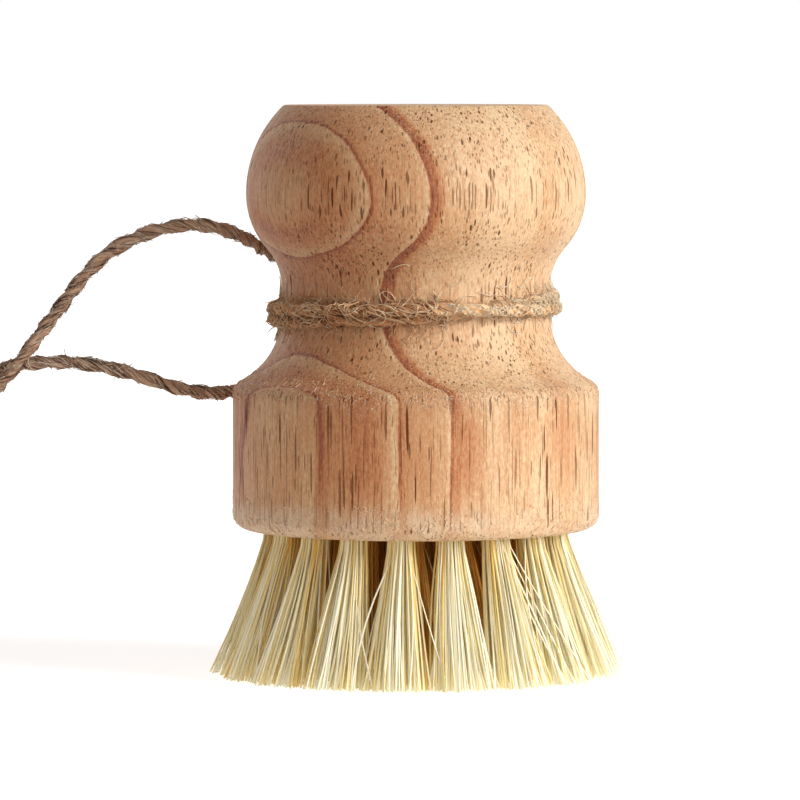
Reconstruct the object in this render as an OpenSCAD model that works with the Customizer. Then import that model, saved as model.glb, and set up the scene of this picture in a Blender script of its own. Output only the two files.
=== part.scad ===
// Palm brush: a turned wooden block with a palm knob, a waist and a drum,
// tufts of plant fibre set in blind holes in the drum's underside, and a twine
// hitched round the waist, whose two ends are knotted into a hanging loop.
// Millimetres. The bristle tips stand on z = 0 and the turning axis is Z.
// The front is -Y. The hanging loop lies out to the left, towards -X.

/* [Handle drum and shoulder] */
// Radius of the drum that carries the bristles
drum_r = 30; // [29.5:0.1:32]
// Height of the drum's straight wall with its lower edge rounding
drum_wall_h = 22; // [19:0.5:26]
// Rounding of the drum's lower edge
drum_edge_r = 2.5; // [1:0.1:3]
// Rounding of the corner between the drum wall and the shoulder
drum_corner_r = 2.5; // [1:0.1:4]
// Radius of the hollow curve from the shoulder up to the waist
shoulder_r = 12.5; // [11:0.1:14]

/* [Handle waist and knob] */
// Radius of the waist
waist_r = 22; // [21:0.1:23.5]
// Height of the straight band round the waist
waist_h = 4.3; // [3:0.1:7]
// Radius of the hollow curve from the waist out to the knob
neck_r = 9.5; // [8:0.1:11]
// Largest radius of the palm knob
knob_r = 27.8; // [26.5:0.1:28.5]
// Radius of the round curve under the widest place of the knob
knob_low_r = 13.5; // [12:0.1:15]
// Radius of the round curve over the widest place of the knob
knob_high_r = 20; // [18:0.5:24]
// Height of the flat top over the widest place of the knob
knob_top_h = 14.5; // [12:0.1:16]
// Rounding of the edge round the flat top
top_edge_r = 0.8; // [0.3:0.1:2]

/* [Tuft holes] */
// Distance from the outer ring of holes out to the drum's side
rim_margin = 7.5; // [7:0.1:7.9]
// Turn of the outer ring of holes, from the front towards the left
ring_turn = 6; // [0:1:19]
// Diameter of a hole
hole_d = 4.6; // [4.2:0.1:5]
// Depth of a hole along its own axis
hole_depth = 12; // [9:0.5:14]
// Height over the underside of the point that all holes lean towards
splay_h = 77.5; // [70:0.5:110]

/* [Bristle tufts] */
// Length of bristle that stands free, from the underside to the tips
bristle_h = 23.8; // [18:0.2:28]
// Strands in each tuft
strand_count = 12; // [8:1:13]
// Thickness of a strand, measured through the corners of its triangle
strand_d = 0.9; // [0.6:0.05:1]
// Radius over which one tuft fans out at its tips
fan_r = 4.2; // [3:0.1:4.3]
// Gap all round between a tuft's root and its hole
root_gap = 0.08; // [0.05:0.01:0.15]

/* [Anchors] */
// Thickness of the flat wire that each tuft is folded over
anchor_t = 0.35; // [0.25:0.05:0.5]
// Width of the flat wire, along the hole
anchor_w = 1.8; // [1.2:0.1:2.4]
// How far each end of the wire bites into the wood
anchor_bite = 0.3; // [0.2:0.05:0.5]
// Gap all round between the wire and the fibres folded over it
anchor_gap = 0.05; // [0.03:0.01:0.1]
// Height of the fold of fibre between the wire and the end of the hole
fold_h = 1.6; // [1:0.1:2.5]

/* [Twine round the waist] */
// Thickness of the twine where it is pulled tight round the waist
wrap_d = 1.75; // [1.5:0.05:1.8]
// Gap between the two strands of the twine round the waist
wrap_strand_gap = 0.47; // [0.45:0.01:0.6]
// Gap between the twine and the wood, in which it turns
wrap_gap = 0.45; // [0.4:0.01:0.6]
// Height of the middle of the twine over the lower end of the waist band
wrap_lift = 0.9; // [0.5:0.1:2]
// Slope of the twine, with its right side the higher
wrap_tilt = 2.4; // [0:0.1:3]

/* [Hanging loop] */
// Thickness of the free twine
twine_d = 2; // [1.8:0.05:2.1]
// Diameter of the knot that joins the two ends
knot_d = 6.4; // [5.5:0.1:7]

/* [Hidden] */
RING_COUNT = 3;
RING_NAMES = ["centre", "inner", "middle", "outer"];
HOLES_PER_RING = 6;
function hole_count(ring) = ring == 0 ? 1 : HOLES_PER_RING * ring;
function two_digits(i) = i < 10 ? str("0", i) : str(i);
function tuft_name(ring, i) = ring == 0 ? "centre_tuft" : str(RING_NAMES[ring], "_tuft_", two_digits(i));
function anchor_name(ring) = str(RING_NAMES[ring], ring == 0 ? "_anchor" : "_anchors");

// Colours of the wood, the fibres, the wire and the twine
wood = [0.83, 0.62, 0.42];
fibres = [0.91, 0.82, 0.58];
inner_fibres = [0.72, 0.53, 0.27];
wire = [0.62, 0.60, 0.56];
twine = [0.62, 0.49, 0.34];

// Facets of the turned block and of a hole, and how far an arc's chords may leave it
block_fn = 60;
hole_fn = 14;
arc_tolerance = 0.04;

// Heights and centres of the turned block's curves, each one tangent to the next
underside_z = bristle_h;
wall_top_z = underside_z + drum_wall_h;
corner_c = [drum_r - drum_corner_r, wall_top_z];
shoulder_cx = waist_r + shoulder_r;
shoulder_reach = shoulder_r + drum_corner_r;
waist_low_z = wall_top_z + sqrt(pow(shoulder_reach, 2) - pow(shoulder_cx - corner_c[0], 2));
shoulder_c = [shoulder_cx, waist_low_z];
shoulder_a = atan2(shoulder_c[1] - corner_c[1], shoulder_c[0] - corner_c[0]);
waist_top_z = waist_low_z + waist_h;
neck_c = [waist_r + neck_r, waist_top_z];
knob_low_cx = knob_r - knob_low_r;
knob_z = waist_top_z + sqrt(pow(neck_r + knob_low_r, 2) - pow(neck_c[0] - knob_low_cx, 2));
neck_a = atan2(knob_z - waist_top_z, knob_low_cx - neck_c[0]);
knob_high_cx = knob_r - knob_high_r;
top_z = knob_z + knob_top_h;
top_edge_up = knob_top_h - top_edge_r;
top_edge_cx = knob_high_cx + sqrt(pow(knob_high_r - top_edge_r, 2) - pow(top_edge_up, 2));
top_edge_a = atan2(top_edge_up, top_edge_cx - knob_high_cx);

// Points of an arc round a centre, past its first one, from one angle to another
function arc_step(r) = 2 * acos(1 - arc_tolerance / r);
function arc(c, r, from, to) =
    let (steps = ceil(abs(to - from) / arc_step(r)))
    [for (i = [1:steps]) let (a = from + (to - from) * i / steps) c + r * [cos(a), sin(a)]];

// Places and lean of the holes, whose rings share the underside evenly
ring_pitch = (drum_r - rim_margin) / RING_COUNT;
function ring_r(ring) = ring * ring_pitch;
function hole_turn(ring, i) = -90 - ring_turn * ring / RING_COUNT + 360 * i / hole_count(ring);
function hole_lean(ring) = atan2(ring_r(ring), splay_h);
function hole_xy(ring, i) = ring_r(ring) * [cos(hole_turn(ring, i)), sin(hole_turn(ring, i))];
hole_run_out = 3;

// A tuft's root fills its hole, and its strands start inside that root
root_r = hole_d / 2 - root_gap;
strand_bed = 1;
strand_margin = 0.1;
strand_root_r = root_r - strand_d / 2 - strand_margin - strand_bed * tan(hole_lean(RING_COUNT));
tip_scale = (splay_h + bristle_h) / splay_h;
// Share of the free length, and of the way outwards, at each ring of a strand
STRAND_STEPS = [[0, 0], [0.5, 0.42], [1, 1]];
STRAND_SIDES = 3;
golden_turn = 137.508;
// One strand's place in its tuft, as a point within a circle of radius 1
function strand_place(k) =
    let (reach = sqrt((k + 0.5) / strand_count))
    reach * [cos(k * golden_turn), sin(k * golden_turn)];
// Middle of a strand at a share of the way down and a share of the way outwards
function strand_xy(ring, i, k, out) =
    let (hole = hole_xy(ring, i), place = strand_place(k))
    (1 - out) * (hole + strand_root_r * place) + out * (tip_scale * hole + fan_r * place);

anchor_l = hole_d + 2 * anchor_bite;
anchor_z = hole_depth - fold_h - anchor_w / 2;

// Route of the twine round the waist. Each point is [turn, out, up]: the turn
// from the back towards the left, how far it stands out from the tight ring,
// and its height over the middle between the two strands.
wrap_r = waist_r + wrap_gap + wrap_d / 2;
wrap_z = waist_low_z + wrap_lift;
wrap_pitch = wrap_d + wrap_strand_gap;
wrap_up = wrap_pitch / 2;
wrap_slope = tan(wrap_tilt);
WRAP_RINGS_PER_LOOP = 24;
WRAP_SIDES = 6;
WRAP_RING_COUNT = 21;
wrap_end_l = 2;
// The strand leaves the tight ring, passes beside the ends and turns back over
// them. Its way out and up there is a share of the strand pitch.
HITCH_TURNS = [38, 28, 19, 11, 4.5];
HITCH_OUT_SHARES = [0, 0, 0.15, 0.45, 0.9];
HITCH_UP_SHARES = [0.05, 0.45, 1, 1.2, 0.75];
BAR_TURN = 1.5;
BAR_OUT_SHARE = 1.1;
function wrap_point(p) =
    let (r = wrap_r + p[1], x = -r * sin(p[0]))
    [x, r * cos(p[0]), wrap_z + p[2] + wrap_slope * x];
wrap_half = concat(
    [for (i = [0:WRAP_RING_COUNT]) [-i * 360 / WRAP_RINGS_PER_LOOP, 0, wrap_up]],
    [for (i = [0:len(HITCH_TURNS) - 1])
        [HITCH_TURNS[i], wrap_pitch * HITCH_OUT_SHARES[i], wrap_up + wrap_pitch * HITCH_UP_SHARES[i]]]
);
function upside_down(p) = [p[0], p[1], -p[2]];
function wrap_end_point(up) = [-wrap_end_l, wrap_r, wrap_z + up - wrap_slope * wrap_end_l];
wrap_route = concat(
    [wrap_end_point(wrap_up)],
    [for (p = wrap_half) wrap_point(p)],
    [wrap_point([BAR_TURN, wrap_pitch * BAR_OUT_SHARE, 0])],
    [for (i = [len(wrap_half) - 1:-1:0]) wrap_point(upside_down(wrap_half[i]))],
    [wrap_end_point(-wrap_up)]
);

// Routes of the two legs of the hanging loop. Each starts straight on from an
// end of the twine round the waist, and its last point lies in the end knot.
loop_straight_l = 3;
loop_start = loop_straight_l * unit([-1, 0, -wrap_slope]);
UPPER_LEG = [
    [-9, 25.3, 61.6], [-14, 26, 63.3], [-19.5, 22.6, 66.5], [-22.8, 18, 68.2],
    [-25.2, 12.8, 69.8], [-28, 9, 71.6], [-32, 6.8, 72.9], [-36.5, 5.4, 73.4],
    [-41.5, 4.5, 72.8], [-46.3, 4, 71.2], [-50.7, 3.5, 68.6], [-54.2, 3, 65.3],
    [-57.2, 3, 61.6], [-60, 3, 57.8], [-62.8, 3, 54.1], [-65.4, 3, 50.7],
    [-68, 3, 47.6], [-71.2, 3.4, 45.2], [-75, 4, 44.2]
];
LOWER_LEG = [
    [-9, 25.4, 58], [-14.8, 26.9, 55.6], [-20.6, 25.2, 52.4], [-24.6, 21.6, 49.8],
    [-27.8, 17, 47.7], [-30.6, 12.6, 46.4], [-34, 9.2, 45.9], [-38.3, 7.2, 46.4],
    [-43, 6.2, 47.6], [-47.8, 5.8, 49.1], [-52.6, 5.7, 50.2], [-57.4, 5.8, 50.7],
    [-62.2, 5.9, 50.6], [-66.8, 5.9, 49.9], [-71, 5.6, 48.2], [-75, 5, 46]
];
upper_leg_route = concat(
    [wrap_end_point(wrap_up), wrap_end_point(wrap_up) + loop_start], UPPER_LEG
);
lower_leg_route = concat(
    [wrap_end_point(-wrap_up), wrap_end_point(-wrap_up) + loop_start], LOWER_LEG
);
LOOP_SIDES = 8;
KNOT_FN = 16;
knot_c = [-77, 4.5, 45];
// The two cut ends of the twine, past the knot
TAILS = [
    [[-78, 4, 44.5], [-81, 3.4, 42.4], [-83, 3, 39], [-84, 2.6, 35], [-84.2, 2.4, 31]],
    [[-78, 5, 45.5], [-81.6, 6, 44.2], [-84.6, 6.8, 41.4], [-86.6, 7.4, 38], [-87.8, 7.8, 34]]
];

function unit(v) = v / norm(v);
function tangent(route, i) = unit(route[min(i + 1, len(route) - 1)] - route[max(i - 1, 0)]);
// A side direction, made square to a tangent
function squared(side, along) = unit(side - (side * along) * along);
function side_directions(route, first) = [
    for (
        i = 0, side = squared(first, tangent(route, 0));
        i < len(route);
        i = i + 1, side = i < len(route) ? squared(side, tangent(route, i)) : side
    ) side
];

// Least gap between stretches of the wrap that lie a quarter loop or more apart
GAP_STEPS = 8;
function between(a, b, share) = a + (b - a) * share;
wrap_samples = [
    for (i = [0:len(wrap_route) - 2]) for (s = [0:GAP_STEPS - 1])
        between(wrap_route[i], wrap_route[i + 1], s / GAP_STEPS)
];
gap_apart = WRAP_RINGS_PER_LOOP / 4 * GAP_STEPS;
wrap_least_gap = min([
    for (i = [0:len(wrap_samples) - 1 - gap_apart])
        min([for (j = [i + gap_apart:len(wrap_samples) - 1]) norm(wrap_samples[i] - wrap_samples[j])])
]) - wrap_d;
echo(wrap_least_gap_mm = wrap_least_gap);

// A tube along a route, as one solid with triangles only
module tube(route, d, sides, first) {
    along = [for (i = [0:len(route) - 1]) tangent(route, i)];
    across = side_directions(route, first);
    points = [
        for (i = [0:len(route) - 1]) for (s = [0:sides - 1])
            let (a = (s + 0.5) * 360 / sides)
            route[i] + d / 2 * (cos(a) * across[i] + sin(a) * cross(along[i], across[i]))
    ];
    last = (len(route) - 1) * sides;
    walls = [
        for (i = [0:len(route) - 2]) for (s = [0:sides - 1])
            let (a = i * sides + s, b = i * sides + (s + 1) % sides)
            each [[a, b + sides, b], [a, a + sides, b + sides]]
    ];
    caps = [
        for (s = [1:sides - 2])
            each [[0, s, s + 1], [last, last + s + 1, last + s]]
    ];
    polyhedron(points = points, faces = concat(walls, caps), convexity = 10);
}

// Places its children at a hole, with Z up the hole's axis and X away from the middle
module at_hole(ring, i) {
    translate(concat(hole_xy(ring, i), [underside_z]))
        rotate([0, 0, hole_turn(ring, i)])
            rotate([0, -hole_lean(ring), 0])
                children();
}

module block_profile() {
    polygon(concat(
        [[0, underside_z], [drum_r - drum_edge_r, underside_z]],
        arc([drum_r - drum_edge_r, underside_z + drum_edge_r], drum_edge_r, -90, 0),
        [[drum_r, wall_top_z]],
        arc(corner_c, drum_corner_r, 0, shoulder_a),
        arc(shoulder_c, shoulder_r, shoulder_a + 180, 180),
        [[waist_r, waist_top_z]],
        arc(neck_c, neck_r, 180, neck_a),
        arc([knob_low_cx, knob_z], knob_low_r, neck_a - 180, 0),
        arc([knob_high_cx, knob_z], knob_high_r, 0, top_edge_a),
        arc([top_edge_cx, top_z - top_edge_r], top_edge_r, top_edge_a, 90),
        [[0, top_z]]
    ));
}

module handle_block() {
    color(wood) difference() {
        rotate_extrude($fn = block_fn) block_profile();
        for (ring = [0:RING_COUNT]) for (i = [1:hole_count(ring)])
            at_hole(ring, i)
                translate([0, 0, -hole_run_out])
                    cylinder(d = hole_d, h = hole_depth + hole_run_out, $fn = hole_fn);
    }
}

// The folded root of a tuft, trimmed level with the underside and slotted for its wire
module tuft_root(ring, i) {
    difference() {
        at_hole(ring, i)
            translate([0, 0, -hole_run_out])
                cylinder(r = root_r, h = hole_depth + hole_run_out, $fn = hole_fn);
        translate(concat(hole_xy(ring, i), [underside_z - hole_d]))
            cube(2 * hole_d, center = true);
        at_hole(ring, i)
            translate([0, 0, anchor_z])
                cube([anchor_t + 2 * anchor_gap, 2 * hole_d, anchor_w + 2 * anchor_gap], center = true);
    }
}

// One strand, from inside the tuft's root down to the flat-trimmed tips
module strand(ring, i, k) {
    corners = [
        for (step = STRAND_STEPS) for (s = [0:STRAND_SIDES - 1])
            let (
                middle = strand_xy(ring, i, k, step[1]),
                a = hole_turn(ring, i) + k * golden_turn + s * 360 / STRAND_SIDES,
                z = underside_z * (1 - step[0]) + (step[0] == 0 ? strand_bed : 0)
            )
            concat(middle + strand_d / 2 * [cos(a), sin(a)], [z])
    ];
    last = (len(STRAND_STEPS) - 1) * STRAND_SIDES;
    walls = [
        for (r = [0:len(STRAND_STEPS) - 2]) for (s = [0:STRAND_SIDES - 1])
            let (a = r * STRAND_SIDES + s, b = r * STRAND_SIDES + (s + 1) % STRAND_SIDES)
            each [[a, b, b + STRAND_SIDES], [a, b + STRAND_SIDES, a + STRAND_SIDES]]
    ];
    polyhedron(points = corners, faces = concat(walls, [[2, 1, 0], [last, last + 1, last + 2]]));
}

module tuft(ring, i) {
    color(ring == RING_COUNT ? fibres : inner_fibres) union() {
        tuft_root(ring, i);
        for (k = [0:strand_count - 1]) strand(ring, i, k);
    }
}

// The flat wires of one ring of holes
module anchors(ring) {
    color(wire)
        for (i = [1:hole_count(ring)])
            at_hole(ring, i)
                translate([0, 0, anchor_z])
                    cube([anchor_t, anchor_l, anchor_w], center = true);
}

module waist_wrap() {
    color(twine) tube(wrap_route, wrap_d, WRAP_SIDES, [0, 1, 0]);
}

module loop_leg(route) {
    color(twine) tube(route, twine_d, LOOP_SIDES, [0, 1, 0]);
}

module end_knot() {
    color(twine) union() {
        translate(knot_c) sphere(d = knot_d, $fn = KNOT_FN);
        for (tail = TAILS) tube(tail, twine_d, LOOP_SIDES, [0, 1, 0]);
    }
}

handle_block();
for (ring = [0:RING_COUNT]) for (i = [1:hole_count(ring)])
    tuft(ring, i);
for (ring = [0:RING_COUNT])
    anchors(ring);
waist_wrap();
loop_leg(upper_leg_route);  // upper_loop_leg
loop_leg(lower_leg_route);  // lower_loop_leg
end_knot();
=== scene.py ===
"""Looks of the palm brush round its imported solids, in metres.

A turned block with its drilled underside, tufts of plant fibre, and a twine
that is hitched round the waist and knotted into a hanging loop.
"""

import math
import random

import bpy
import numpy as np
from mathutils import Matrix, Vector


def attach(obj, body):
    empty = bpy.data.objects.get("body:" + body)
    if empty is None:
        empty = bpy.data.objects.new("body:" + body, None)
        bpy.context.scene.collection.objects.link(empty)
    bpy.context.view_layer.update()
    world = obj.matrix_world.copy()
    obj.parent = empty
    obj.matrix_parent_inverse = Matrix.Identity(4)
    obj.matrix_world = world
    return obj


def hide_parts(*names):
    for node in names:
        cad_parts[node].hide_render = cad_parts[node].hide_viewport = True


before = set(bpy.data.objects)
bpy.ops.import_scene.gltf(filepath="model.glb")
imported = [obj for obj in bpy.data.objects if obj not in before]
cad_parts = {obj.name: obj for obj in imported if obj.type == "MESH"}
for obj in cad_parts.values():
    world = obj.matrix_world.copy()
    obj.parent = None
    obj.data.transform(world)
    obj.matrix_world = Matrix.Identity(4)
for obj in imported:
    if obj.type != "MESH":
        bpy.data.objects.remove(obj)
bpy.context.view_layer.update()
MM = 0.001
SCENE = bpy.context.scene

# Camera, at the photograph's angle
LOOK_AT = Vector((-2.6, 0, 44.8)) * MM
CAMERA_DISTANCE = 0.95
CAMERA_ELEVATION = math.radians(3.3)
CAMERA_LENS = 260.8

# The turned block, as in the solids
UNDERSIDE_Z = 23.8
WALL_H, DRUM_R, DRUM_EDGE_R, DRUM_CORNER_R = 22, 30, 2.5, 2.5
SHOULDER_R, WAIST_R, WAIST_H, NECK_R = 12.5, 22, 4.3, 9.5
KNOB_R, KNOB_LOW_R, KNOB_HIGH_R, KNOB_TOP_H, TOP_EDGE_R = 27.8, 13.5, 20, 14.5, 0.8
BLOCK_SIDES = 160

# The holes and their tufts, as in the solids
RINGS = ["centre", "inner", "middle", "outer"]
RING_PITCH, RING_TURN, HOLE_R, HOLE_DEPTH, SPLAY_H = 7.5, 6, 2.3, 12, 77.5
TIP_SCALE = (SPLAY_H + UNDERSIDE_Z) / SPLAY_H
ROOT_R, FAN_OUT, FAN_ACROSS = 2.1, 4.2, 5.6

# The twine, as in the solids
WRAP_R, WRAP_Z, WRAP_UP = 23.325, 59.9665, 1.11
WRAP_SLOPE = math.tan(math.radians(2.4))
STRAND_PITCH = 2.22
HITCH = [(38, 0, 0.05), (28, 0, 0.45), (19, 0.15, 1), (11, 0.45, 1.2), (4.5, 0.9, 0.75)]
HITCH_BAR = (1.5, 1.1)
UPPER_LEG = [
    (-9, 25.3, 61.6), (-14, 26, 63.3), (-19.5, 22.6, 66.3), (-22.8, 18, 67.6),
    (-25.2, 12.8, 69.1), (-28, 9, 70.9), (-32, 6.8, 72.6), (-36.5, 5.4, 73.4),
    (-41.5, 4.5, 72.8), (-46.3, 4, 71.2), (-50.7, 3.5, 68.6), (-54.2, 3, 65.3),
    (-57.2, 3, 61.6), (-60, 3, 57.8), (-62.8, 3, 54.1), (-65.4, 3, 50.7),
    (-68, 3, 47.6), (-71.2, 3.4, 45.2), (-75, 4, 44.2),
]
LOWER_LEG = [
    (-9, 25.4, 58), (-14.8, 26.9, 55), (-20.6, 25.2, 51.1), (-24.6, 21.6, 48.1),
    (-27.8, 17, 46.1), (-30.6, 12.6, 45.4), (-34, 9.2, 45.4), (-38.3, 7.2, 46.1),
    (-43, 6.2, 47.6), (-47.8, 5.8, 49.1), (-52.6, 5.7, 50.2), (-57.4, 5.8, 50.7),
    (-62.2, 5.9, 50.6), (-66.8, 5.9, 49.9), (-71, 5.6, 48.2), (-75, 5, 46),
]
TAILS = [
    [(-78, 4, 44.5), (-81, 3.4, 42.4), (-83, 3, 39), (-84, 2.6, 35), (-84.2, 2.4, 31)],
    [(-78, 5, 45.5), (-81.6, 6, 44.2), (-84.6, 6.8, 41.4), (-86.6, 7.4, 38), (-87.8, 7.8, 34)],
]
KNOT_C = np.array((-77, 4.5, 45.0))
TWINE_STEP, CURVE_CUTS, SOFT_STEPS = 0.35, 16, 17
TWINE_D, WRAP_D = 2.05, 1.85
LAY_PITCH = 8.9
# Tone of the twine over the way from left to right, with painted shade and light: darker on the loop and the
# waist's left, which lie in shade, paler on the waist's right, where the key light falls
TWINE_SHADE_TONES = [
    (-60, 0.44), (-45, 0.48), (-36, 0.48), (-30, 0.43), (-25.5, 0.45), (-24, 0.56), (-12, 0.38),
    (1, 0.42), (5, 0.66), (14, 0.76),
]
# The twine's pieces: tone shift, laid fibres, loose hairs, their greatest length and spread, and a seed
TWINE_PIECES = {
    "upper_loop_twine": (0.0, 640, 300, 1.8, 0.3, 11),
    "waist_twine": (-0.05, 1250, 900, 2.8, 0.4, 12),
    "lower_loop_twine": (0.0, 580, 280, 1.8, 0.3, 13),
}


def set_camera():
    data = bpy.data.cameras.new("camera")
    data.lens = CAMERA_LENS
    camera = bpy.data.objects.new("camera", data)
    SCENE.collection.objects.link(camera)
    back = Vector((0, -math.cos(CAMERA_ELEVATION), math.sin(CAMERA_ELEVATION)))
    camera.location = LOOK_AT + CAMERA_DISTANCE * back
    camera.rotation_euler = (-back).to_track_quat("-Z", "Y").to_euler()
    SCENE.camera = camera


# Twine: paths, frames round them, and the meshes swept along them

def way_along(path):
    """How far along the path each of its points lies."""
    return np.concatenate([[0], np.cumsum(np.linalg.norm(np.diff(path, axis=0), axis=1))])


def smooth_path(points, step=TWINE_STEP):
    """A smooth curve through the points, sampled at an even step."""
    p = np.array(points, float)
    p = np.vstack([2 * p[0] - p[1], p, 2 * p[-1] - p[-2]])
    t = np.linspace(0, 1, CURVE_CUTS, endpoint=False)[:, None]
    parts = []
    for a, b, c, d in zip(p[:-3], p[1:-2], p[2:-1], p[3:]):
        parts.append(0.5 * (2 * b + (c - a) * t + (2 * a - 5 * b + 4 * c - d) * t ** 2
                            + (3 * b - a - 3 * c + d) * t ** 3))
    dense = np.vstack(parts + [p[-2:-1]])
    along = way_along(dense)
    even = np.linspace(0, along[-1], max(2, int(round(along[-1] / step)) + 1))
    return np.stack([np.interp(even, along, dense[:, k]) for k in range(3)], axis=1)


def path_frames(path, first=(0, 1, 0)):
    """Unit tangents and two side directions that don't twist along the path."""
    tangents = np.gradient(path, axis=0)
    tangents /= np.linalg.norm(tangents, axis=1)[:, None]
    side = np.array(first, float)
    sides = []
    for t in tangents:
        side = side - side.dot(t) * t
        side /= np.linalg.norm(side)
        sides.append(side)
    sides = np.array(sides)
    return tangents, sides, np.cross(tangents, sides)


class Sweep:
    """Gathers tubes, with each one's tone and the place along and round it, into one mesh."""

    def __init__(self):
        self.points, self.faces, self.tones, self.uvs = [], [], [], []
        self.count = 0

    def tube(self, path, radii, sides, tone, relief=None, first=(0, 1, 0)):
        rings = len(path)
        _, a, b = path_frames(path, first)
        turn = 2 * math.pi * np.arange(sides) / sides
        radii = np.broadcast_to(np.asarray(radii, float), (rings,))[:, None] * np.ones((1, sides))
        if relief is not None:
            radii = radii * relief
        offsets = (np.cos(turn)[None, :, None] * a[:, None, :]
                   + np.sin(turn)[None, :, None] * b[:, None, :])
        self.points.append((path[:, None, :] + radii[:, :, None] * offsets).reshape(-1, 3))
        self.tones.append(np.repeat(np.broadcast_to(np.asarray(tone, float), (rings,)), sides))
        along = way_along(path)
        for i in range(rings - 1):
            for s in range(sides):
                n = (s + 1) % sides
                q = self.count + np.array([i * sides + s, i * sides + n,
                                           (i + 1) * sides + n, (i + 1) * sides + s])
                self.faces.append(q.tolist())
                v0, v1 = s / sides, (s + 1) / sides
                self.uvs += [(along[i], v0), (along[i], v1), (along[i + 1], v1), (along[i + 1], v0)]
        first_cap = (self.count + np.arange(sides)[::-1]).tolist()
        last_cap = (self.count + (rings - 1) * sides + np.arange(sides)).tolist()
        self.faces += [first_cap, last_cap]
        self.uvs += [(along[0], 0.5)] * sides + [(along[-1], 0.5)] * sides
        self.count += rings * sides

    def mesh_object(self, name):
        mesh = bpy.data.meshes.new(name)
        mesh.from_pydata((np.vstack(self.points) * MM).tolist(), [], self.faces)
        tone = mesh.attributes.new("tone", "FLOAT", "POINT")
        tone.data.foreach_set("value", np.concatenate(self.tones).astype(np.float32))
        uv = mesh.uv_layers.new(name="UVMap")
        uv.data.foreach_set("uv", np.array(self.uvs, np.float32).ravel())
        mesh.polygons.foreach_set("use_smooth", [True] * len(mesh.polygons))
        mesh.update()
        obj = bpy.data.objects.new(name, mesh)
        SCENE.collection.objects.link(obj)
        return obj


# The two plies, in shares of the twine's diameter
PLY_OUT, PLY_R, PLY_SIDES = 0.2, 0.34, 14
RIDGE_RINGS, RIDGE_DEPTH = 14, 0.11
# Shares of loose laid fibres and of thick hairs, and the thinnest and thickest of both
LOOSE_SHARE, THICK_HAIRS = 0.05, 0.25
LAID_R, HAIR_R = (0.07, 0.15), (0.05, 0.1)


def ply_relief(rings, rng):
    """Fibre ridges along a ply, which drift round it."""
    base = rng.normal(0, 1, (rings // RIDGE_RINGS + 3, PLY_SIDES))
    at = np.arange(rings) / RIDGE_RINGS
    low = np.floor(at).astype(int)
    share = (at - low)[:, None]
    share = share * share * (3 - 2 * share)
    ridges = base[low] * (1 - share) + base[low + 1] * share
    return 1 + RIDGE_DEPTH * ridges


def add_twine(sweep, path, frames, phase, diameter, rng, tone=0.45):
    """Two plies laid round each other along the path."""
    _, a, b = frames
    for ply in (0, 1):
        angle = phase + math.pi * ply
        offset = PLY_OUT * diameter[:, None] * (np.cos(angle)[:, None] * a + np.sin(angle)[:, None] * b)
        sweep.tube(path + offset, PLY_R * diameter, PLY_SIDES, tone + 0.06 * (ply - 0.5),
                   ply_relief(len(path), rng), a[0])


def add_laid_fibres(sweep, path, frames, phase, diameter, count, rng, tone):
    """Fibres on the twine's skin, which follow its lay and lift off a little. A few cross it."""
    _, a, b = frames
    s = np.linspace(-1, 1, 7)
    for _ in range(count):
        steps = int(rng.integers(8, 24))
        i = int(rng.integers(0, max(1, len(path) - steps)))
        keep = np.linspace(i, min(i + steps, len(path) - 1), len(s)).astype(int)
        loose = rng.random() < LOOSE_SHARE
        turn = phase[keep] + rng.uniform(0, 2 * math.pi)
        turn += rng.normal(0, 0.3) * s + rng.normal(0, 0.25) * s * s
        turn += loose * s * rng.choice([-1, 1]) * rng.uniform(1, 2.2)
        across = turn - phase[keep]
        skin = PLY_OUT * np.abs(np.cos(across)) + np.sqrt(PLY_R ** 2 - (PLY_OUT * np.sin(across)) ** 2)
        reach = diameter[keep] * np.maximum(skin, PLY_R) + 0.02 + rng.uniform(0.0, 0.4) * (s * s) ** 2
        out = np.cos(turn)[:, None] * a[keep] + np.sin(turn)[:, None] * b[keep]
        thin = rng.uniform(*LAID_R) * (1 - 0.6 * s ** 4)
        shade = tone[keep] + (0.5 if loose else rng.uniform(-0.45, 0.45))
        sweep.tube(path[keep] + (reach + 0.08 * loose)[:, None] * out, thin, 4, shade, first=out[0])


def add_fuzz(sweep, path, frames, diameter, count, longest, rng, spread=0.55):
    """Loose fibres that leave the twine and curl back."""
    tangents, a, b = frames
    for _ in range(count):
        i = rng.integers(0, len(path))
        turn = rng.uniform(0, 2 * math.pi)
        out = math.cos(turn) * a[i] + math.sin(turn) * b[i]
        round_it = np.cross(tangents[i], out)
        length = longest * (0.16 + 0.84 * rng.random() ** 2)
        way = tangents[i] * rng.choice([-1, 1]) * rng.uniform(0.45, 1) + out * rng.uniform(0.1, spread)
        way += round_it * rng.normal(0, 0.45)
        way /= np.linalg.norm(way)
        bend = rng.normal(0, 1, 3)
        bend -= bend.dot(way) * way
        bend *= rng.uniform(0.1, 0.8) / max(np.linalg.norm(bend), 1e-6)
        bend -= out * rng.uniform(0, 1.2) * spread
        s = np.linspace(0, 1, 6)[:, None]
        start = path[i] + out * diameter[i] * rng.uniform(0.36, 0.5)
        hair = start + length * (s * way + s ** 2 * bend)
        thin = rng.uniform(*HAIR_R) + (0.05 if rng.random() < THICK_HAIRS else 0)
        sweep.tube(hair, thin * np.linspace(1, 0.45, 6), 3, rng.uniform(0.62, 1.0), first=out)


def wrap_point(turn, out, up):
    """A point of the round of the waist: turn in degrees from the back towards the left."""
    r, t = WRAP_R + out, math.radians(turn)
    x = -r * math.sin(t)
    return (x, r * math.cos(t), WRAP_Z + up + WRAP_SLOPE * x)


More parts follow.
